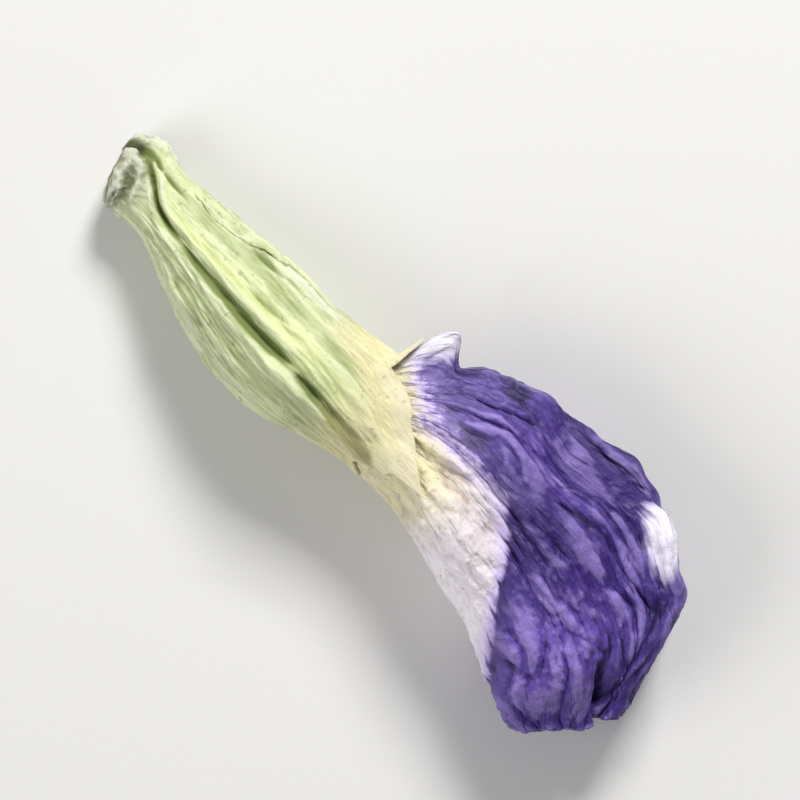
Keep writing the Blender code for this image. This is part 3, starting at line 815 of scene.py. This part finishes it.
class Paint:
    """One material's node tree, with short names for what the finishes below need. A colour is a socket, or
    red, green and blue of 0 to 255 as on a screen."""

    def __init__(self, name, roughness, sheen=0.0, tint=(255, 255, 255)):
        self.material = bpy.data.materials.new(name)
        self.material.use_nodes = True
        self.tree = self.material.node_tree
        self.shader = self.tree.nodes["Principled BSDF"]
        fixed = {"Roughness": roughness, "Sheen Weight": sheen, "Sheen Tint": srgb(*tint)}
        for name, value in {**fixed, "Specular IOR Level": 0.35}.items():
            self.shader.inputs[name].default_value = value

    def link(self, value, socket):
        value = value.socket if isinstance(value, Value) else value
        if isinstance(value, bpy.types.NodeSocket):
            self.tree.links.new(value, socket)
        else:
            socket.default_value = value

    def node(self, kind, settings, inputs):
        """A node of a kind: its settings first, then its sockets' values or links."""
        made = self.tree.nodes.new(kind)
        for name, value in settings.items():
            setattr(made, name, value)
        for name, value in inputs.items():
            self.link(value, made.inputs[name])
        return made

    def math(self, operation, first, second=0.0):
        made = self.node("ShaderNodeMath", {"operation": operation}, {0: first, 1: second})
        return Value(self, made.outputs[0])

    def vector_math(self, operation, first, second):
        made = self.node("ShaderNodeVectorMath", {"operation": operation}, {0: first, 1: second})
        return made.outputs[0]

    def mix(self, factor, first, second):
        """A colour between the first (factor 0) and the second (factor 1)."""
        first, second = (srgb(*each) if isinstance(each, tuple) else each for each in (first, second))
        settings = {"data_type": "RGBA", "clamp_factor": True}
        return self.node("ShaderNodeMix", settings, {0: factor, 6: first, 7: second}).outputs[2]

    def layers(self, colour, *layers):
        """A colour with layers over it, each an amount and a colour, the last one on top."""
        for amount, over in layers:
            colour = self.mix(amount, colour, over)
        return colour

    def step(self, value, low, high):
        """0 below low, 1 above high and a smooth step between; low may be the larger."""
        if low > high:
            return 1.0 - self.step(value, high, low)
        values = {"Value": value, "From Min": low, "From Max": high}
        made = self.node("ShaderNodeMapRange", {"interpolation_type": "SMOOTHSTEP"}, values)
        return Value(self, made.outputs["Result"])

    def stored(self, *names):
        """The numbers that the piece stores under these names."""
        made = (self.node("ShaderNodeAttribute", {"attribute_name": name}, {}) for name in names)
        return [Value(self, node.outputs["Fac"]) for node in made]

    def scaled(self, vector, scale):
        return self.vector_math("MULTIPLY", vector, scale)

    def object_mm(self):
        """Object coordinates in millimetres."""
        return self.scaled(self.node("ShaderNodeTexCoord", {}, {}).outputs["Object"], (1.0 / MM,) * 3)

    def surface(self, scale):
        """The piece's own UV map, scaled."""
        return self.scaled(self.node("ShaderNodeUVMap", {"uv_map": "surface"}, {}).outputs["UV"], scale)

    def cloud(self, vector, scale, detail=3.0, rough=0.55, bent=0.0):
        """Noise of 0 to 1 at so many cells to the unit."""
        values = {"Vector": vector, "Scale": scale, "Detail": detail, "Roughness": rough, "Distortion": bent}
        return Value(self, self.node("ShaderNodeTexNoise", {}, values).outputs["Fac"])

    def net(self, vector, scale):
        """Distance to the nearest wall of a net of cells, which wander by up to about half a unit."""
        values = {"Vector": vector, "Scale": 0.7, "Detail": 3.0}
        shift = self.node("ShaderNodeTexNoise", {}, values).outputs["Color"]
        bent = self.vector_math("ADD", vector, self.vector_math("SUBTRACT", shift, (0.5, 0.5, 0.5)))
        values = {"Vector": self.scaled(bent, scale), "Scale": 1.0}
        made = self.node("ShaderNodeTexVoronoi", {"feature": "DISTANCE_TO_EDGE"}, values)
        return Value(self, made.outputs["Distance"])

    def finish(self, colour, roughness, height, depth):
        """Joins colour, roughness and a bump of a depth in millimetres to the shader."""
        bump = self.node("ShaderNodeBump", {}, {"Distance": depth * MM, "Height": height}).outputs[0]
        for name, value in {"Base Color": colour, "Roughness": roughness, "Normal": bump}.items():
            self.link(value, self.shader.inputs[name])
        return self.material


def calyx_finish():
    """Dried yellow-green: painted shade in the grooves between the ribs and in the dark green creases,
    painted highlights on the wrinkles' tops, on the ridge beside the long crease and along the belly and
    back edges, lobes that turn yellow and then cream, a greyer lumpy knob with painted shade and highlights
    on its lumps and a brown scar, and brown specks."""
    paint = Paint("dried_calyx", 0.6, 0.3, (232, 234, 222))
    step, cloud = paint.step, paint.cloud
    names = ("rib", "station", "tip", "wrinkle", "inside", "painted_ridge_highlight", "painted_edge_highlight")
    rib, station, tip, wrinkle, inside, painted_ridge_highlight, painted_edge_highlight = paint.stored(*names)
    here = paint.object_mm()
    long = paint.scaled(here, (0.35, 2.2, 2.2))
    streak = cloud(long, 1.0, 4.0, 0.6)
    fine = cloud(long, 3.2, 3.0, 0.6)
    patch = cloud(here, 0.38, 2.0, 0.5)
    grain = cloud(here, 6.0, 3.0, 0.6)
    cork = cloud(here, 2.6, 5.0, 0.7, 0.6)
    specks = step(cloud(here, 3.4, 1.0, 0.5), 0.67, 0.74)

    # Painted shade in the grooves between the ribs.
    groove = step(rib, 0.16, 0.02) * step(station, 3.5, 7.0) * step(tip, 0.6, 0.0)
    yellowed = step(station + 2.0 * (streak - 0.5), 14.6, 17.6)
    yellow = paint.mix(step(fine, 0.35, 0.65), (214, 204, 150), (237, 228, 182))
    creamy = step(station + 1.5 * (fine - 0.5), 17.8, 20.2)
    # Painted shade in the creases: dark green, olive where the lobes have yellowed.
    hollow = paint.mix(yellowed, (106, 122, 46), (154, 150, 98))
    knob = step(station + 1.2 * (cork - 0.5), 3.2, 1.7)
    # The knob: painted shade in the hollows between its lumps, brown cork patches, and painted highlights on
    # the lumps' tops.
    lumps = paint.mix(step(wrinkle + 0.3 * (cork - 0.5), -0.12, 0.1), (86, 88, 62), (176, 178, 154))
    lumps = paint.mix(0.3 * step(cork, 0.58, 0.72), lumps, (158, 148, 112))
    bright = step(wrinkle + 0.2 * (cork - 0.5), 0.02, 0.14) * step(station, 4.4, 2.6)
    colour = paint.layers(
        paint.mix(step(streak, 0.36, 0.62), (181, 190, 136), (219, 226, 181)),
        (0.5 * step(patch, 0.48, 0.68), (233, 236, 180)),
        (0.55 * step(fine, 0.52, 0.74), (240, 243, 214)),
        # Painted shade in the grooves between the ribs.
        (0.42 * groove, (142, 158, 82)),
        # Painted highlights on the wrinkles' tops.
        (0.45 * step(wrinkle, 0.02, 0.12), (246, 250, 212)),
        # Painted highlight on the ridge beside the long crease.
        (0.5 * painted_ridge_highlight, (234, 241, 168)),
        # Painted highlights along the belly and back edges.
        (0.6 * painted_edge_highlight * step(streak, 0.3, 0.6), (242, 243, 228)),
        (0.85 * yellowed, yellow),
        (0.7 * creamy, (238, 228, 196)),
        # Painted shade in the creases' hollows.
        (0.9 * step(wrinkle, -0.05, -0.22), hollow),
        # The knob, with painted shade and highlights on its lumps.
        (0.85 * knob, lumps),
        # Painted highlights on the knob's lumps.
        (0.45 * bright, (236, 238, 218)),
        (0.8 * step(station, 0.4, 0.2), (128, 108, 72)),
        (0.36 * specks, (120, 112, 56)),
        (0.4 * inside, (226, 222, 184)),
    )
    height = 0.5 * fine + 0.3 * streak + 0.35 * grain + 1.2 * cork * step(station, 3.2, 1.7)
    return paint.finish(colour, 0.48 + 0.3 * grain, height, 0.08)


def petal_finish(name, cream_share, faded):
    """A dried petal: a deep violet blade with fine veins, painted shade in its creases and sunk net lines
    and on its outer side, painted highlights on its crests, and a painted shadow beside the pale band; along
    the midrib a band that is yellow at the claw, then cream, then lilac at its edge, sharp except near the
    claw, where pale strokes run out along the veins, with painted shade in its creases and a painted
    highlight along the fold;
    and white where it is rolled over."""
    paint = Paint(name, 0.5, 0.12, (170, 150, 225))
    step, cloud = paint.step, paint.cloud
    pale, crest, margin, along, rolled = paint.stored("pale", "fine", "margin", "along", "rolled")
    here = paint.object_mm()
    uv = paint.surface((BLADE_LENGTH, VEIN_WIDTH, 1.0))
    across = Value(paint, paint.node("ShaderNodeSeparateXYZ", {}, {0: uv}).outputs[1])
    aside = paint.math("ABSOLUTE", across)
    crumple = cloud(paint.scaled(uv, (0.75, 1.3, 1.0)), 1.0, 5.0, 0.62, 0.9)
    fibres = cloud(paint.scaled(uv, (0.5, 6.0, 1.0)), 1.0, 3.0, 0.6, 0.2)
    patches = cloud(uv, 0.24, 2.0, 0.5)
    mottle = cloud(here, 2.6, 2.0, 0.6)
    grain = cloud(here, 7.0, 3.0, 0.65)
    spots = step(cloud(here, 1.9, 2.0, 0.5), 0.66, 0.72)
    # 1 on thin lines, one at each whole number.
    veins = step(paint.math("PINGPONG", across * 1.7 + 1.6 * cloud(uv, 0.22, 3.0, 0.5), 0.5), 0.15, 0.0)
    facets = paint.net(uv, (0.55, 1.5, 1.0))

    # How far inside the pale band a place is, with a frayed edge.
    claw = step(along, 0.6, 0.42)
    bleed = pale + (0.5 + 0.8 * claw) * (fibres - 0.5) + (0.9 + 1.2 * claw) * (crumple - 0.5) - 0.3 * veins
    bleed = bleed + 1.4 * claw * (mottle - 0.5)
    in_cream = step(bleed, -0.2, 0.32) * cream_share

    # Painted shade on the outer side of the blade, where it curves away.
    outer = step(aside, 6.0, 9.0) * step(along, 0.5, 0.66)
    middle = step(along, 0.5, 0.6) * step(along, 0.78, 0.66) * step(aside, 8.0, 5.5)
    # Painted highlights on the crests of the relief, weaker in the middle and on the shaded outer side.
    crested = step(crest + 0.12 * (fibres - 0.5), 0.05, 0.18) * (0.74 - 0.5 * middle - 0.24 * outer)
    # Painted shadow beside the pale band's edge, where the violet lies a little beneath it.
    painted_band_shadow = step(bleed, -1.2, -0.3) * step(along, 0.58, 0.66)
    haze = step(bleed, -1.6, 0.0) * step(along, 0.6, 0.44)
    # Where the fold's edge gets a painted highlight.
    ridge = step(aside, 3.2, 1.0)
    violet = paint.layers(
        paint.mix(step(patches, 0.38, 0.62), (62, 37, 122), (94, 69, 160)),
        # Painted shade on the outer side.
        (0.45 * outer, (44, 26, 96)),
        (0.76 * middle, (40, 20, 92)),
        (0.62 * step(along, 0.72, 0.84) * step(aside, 6.5, 4.5), (118, 90, 190)),
        (0.4 * step(along, 0.58, 0.46), (132, 118, 178)),
        ((0.35 - 0.12 * middle) * step(crumple, 0.5, 0.7), (128, 104, 186)),
        (0.32 * step(crumple, 0.48, 0.32), (44, 26, 94)),
        (0.3 * step(fibres, 0.55, 0.75), (144, 122, 200)),
        (0.3 * veins, (40, 22, 88)),
        # Painted shade in the net's sunk crease lines.
        (0.3 * step(facets, 0.07, 0.0), (36, 20, 84)),
        # Painted shade in the creases.
        (0.84 * step(crest, -0.03, -0.17), (24, 11, 62)),
        # Painted highlights on the crests.
        (crested, (160, 138, 212)),
        (0.34 * step(along, 0.85, 0.93), (48, 28, 108)),
        # Painted shadow beside the pale band.
        (0.45 * painted_band_shadow, (64, 48, 104)),
        (0.55 * haze * cream_share, (168, 150, 212)),
    )
    cream = paint.layers(
        paint.mix(step(along, 0.48, 0.61), (238, 229, 182), (230, 218, 222)),
        (0.22 * step(patches, 0.5, 0.66), (238, 230, 188)),
        (0.48 * step(mottle, 0.52, 0.68), (180, 160, 146)),
        (0.45 * step(fibres, 0.52, 0.7), (248, 244, 240)),
        # Painted shade in the creases.
        (0.45 * step(crest, -0.03, -0.14), (170, 148, 144)),
        (0.16 * veins, (190, 168, 168)),
        # Painted highlight along the fold's edge.
        ((0.66 + 0.3 * step(mottle, 0.62, 0.5)) * ridge * step(along, 0.5, 0.62), (255, 248, 253)),
        (0.5 * spots, (196, 164, 104)),
        (0.85 * step(bleed, 1.4, 0.2), (226, 212, 246)),
        (0.6 * step(bleed, 0.62, 0.15), (196, 172, 238)),
    )
    whites = paint.mix(step(fibres, 0.3, 0.6), (222, 210, 242), (253, 249, 255))
    whites = paint.mix(0.7 * step(rolled, 0.75, 0.35), whites, (196, 180, 230))
    rim = step(margin + 0.5 * (crumple - 0.5), 0.26, 0.02) * step(patches, 0.4, 0.62)
    white = step(rolled + 0.6 * (crumple - 0.5) + 0.7 * (fibres - 0.5), 0.3, 0.66)
    colour = paint.layers(
        violet,
        (in_cream, cream),
        (0.5 * rim, (176, 162, 216)),
        (0.95 * white, whites),
        (faded, (150, 132, 196)),
    )
    roughness = 0.38 + 0.22 * grain + 0.14 * in_cream
    height = 0.45 * crumple + 0.35 * fibres + 0.15 * veins + 0.2 * grain + 0.3 * mottle
    height = height + 0.55 * step(facets, 0.0, 0.3)
    return paint.finish(colour, roughness, height, 0.16)


def keel_finish():
    """Dried cream petal with fine lines, painted shade in its creases and a violet flush towards its tip."""
    paint = Paint("dried_keel", 0.6, 0.1)
    step = paint.step
    pale, crest = paint.stored("pale", "fine")
    uv = paint.surface((BLADE_LENGTH, 4.0, 1.0))
    strands = paint.cloud(paint.scaled(uv, (0.4, 3.0, 1.0)), 1.0, 4.0, 0.6)
    grain = paint.cloud(paint.object_mm(), 7.0, 3.0, 0.6)
    colour = paint.layers(
        paint.mix(step(strands, 0.35, 0.65), (200, 184, 146), (238, 230, 204)),
        # Painted shade in the creases.
        (0.6 * step(crest, 0.0, -0.06), (160, 140, 112)),
        (0.6 * step(pale + 2.0 * (strands - 0.5), 1.5, -0.5), (136, 112, 178)),
    )
    return paint.finish(colour, 0.5 + 0.2 * grain, strands + 0.3 * grain, 0.06)


def stamen_finish():
    """Cream filaments with tan along their grooves."""
    paint = Paint("dried_stamens", 0.7)
    here = paint.object_mm()
    along = paint.cloud(paint.scaled(here, (0.5, 4.0, 4.0)), 1.0, 3.0, 0.6)
    grain = paint.cloud(here, 9.0, 2.0, 0.6)
    colour = paint.mix(paint.step(along, 0.38, 0.62), (186, 164, 112), (234, 226, 190))
    colour = paint.mix(0.5 * paint.step(grain, 0.55, 0.7), colour, (206, 186, 130))
    return paint.finish(colour, 0.65 + 0.2 * grain, along + 0.5 * grain, 0.05)


# The stage


def floor():
    """A plain pale surface under the flower."""
    paint = Paint("pale_surface", 0.85)
    paint.shader.inputs["Base Color"].default_value = srgb(232, 231, 228)
    corners = [(1.5 * x, 1.5 * y, 0.0) for x, y in ((-1, -1), (1, -1), (1, 1), (-1, 1))]
    mesh = bpy.data.meshes.new("floor")
    mesh.from_pydata(corners, [], [(0, 1, 2, 3)])
    mesh.materials.append(paint.material)
    stand("floor", mesh)


def view_axes():
    """The picture's own directions in the frame: its right, its up, and towards the viewer."""
    return Matrix.Rotation(-VIEW_TURN, 3, "Z")


def lamp(name, direction, distance, size, power):
    """A soft square lamp that shines from a direction of the picture: right, up, towards the viewer."""
    light = bpy.data.lights.new(name, "AREA")
    light.size = size
    light.energy = power
    made = stand(name, light)
    made.location = view_axes() @ Vector(direction).normalized() * distance
    made.rotation_euler = made.location.to_track_quat("Z", "Y").to_euler()


def camera():
    """Looks straight down at the middle of the flower, turned as in the picture."""
    view = bpy.data.cameras.new("camera")
    view.lens = view.sensor_width * VIEW_HEIGHT / VIEW_WIDTH
    made = stand("camera", view)
    made.matrix_world = Matrix.Translation((0.0, 0.0, VIEW_HEIGHT)) @ view_axes().to_4x4()
    bpy.context.scene.camera = made


def lights():
    lamp("key", (0.35, 0.95, 0.85), 0.35, 0.1, 1.2)
    lamp("fill", (-1.0, -0.3, 0.8), 0.45, 0.3, 0.85)
    world = bpy.data.worlds.new("studio")
    world.use_nodes = True
    sky = world.node_tree.nodes["Background"].inputs
    sky["Color"].default_value = (0.93, 0.95, 1.0, 1.0)
    sky["Strength"].default_value = 0.24
    bpy.context.scene.world = world
    bpy.context.scene.view_settings.view_transform = "Standard"


def drawing_shift():
    """How far the drawing moves to the frame: its calyx's lowest corner goes to the CAD calyx's."""
    turn = np.arange(50)[None] * TAU / 50
    x = np.linspace(STALK_END_X, MOUTH_X, 60)[:, None]
    back, middle = outline(CALYX, x, 1, 2)
    swell = 1.0 + 0.03 * ease(x, RIB_START_X, RIB_FULL_X) * (1.0 + np.cos(RIBS * turn))
    lowest = (middle - (middle - back) * swell * np.cos(turn)).min()
    low = np.array(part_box("calyx")[0]) / MM
    return np.array((low[0] - STALK_END_X, low[1] - lowest, 0.0))


SHIFT = drawing_shift()
standard_grid = standard(petal_finish("dried_standard", 1.0, 0.0))
wings = petal_finish("dried_wings", 0.8, 0.12)
upper_grid = wing("wing_upper_skin", "wing_petal_upper", 1, 100, wings)
lower_grid = wing("wing_lower_skin", "wing_petal_lower", -1, 115, wings)
green = calyx_finish()
calyx(green, (standard_grid, upper_grid, lower_grid))
for number, turn in enumerate(BRACTEOLE_TURNS, 1):
    bracteole(number, turn, green)
keel(keel_finish())
stamens(stamen_finish())
floor()
lights()
camera()
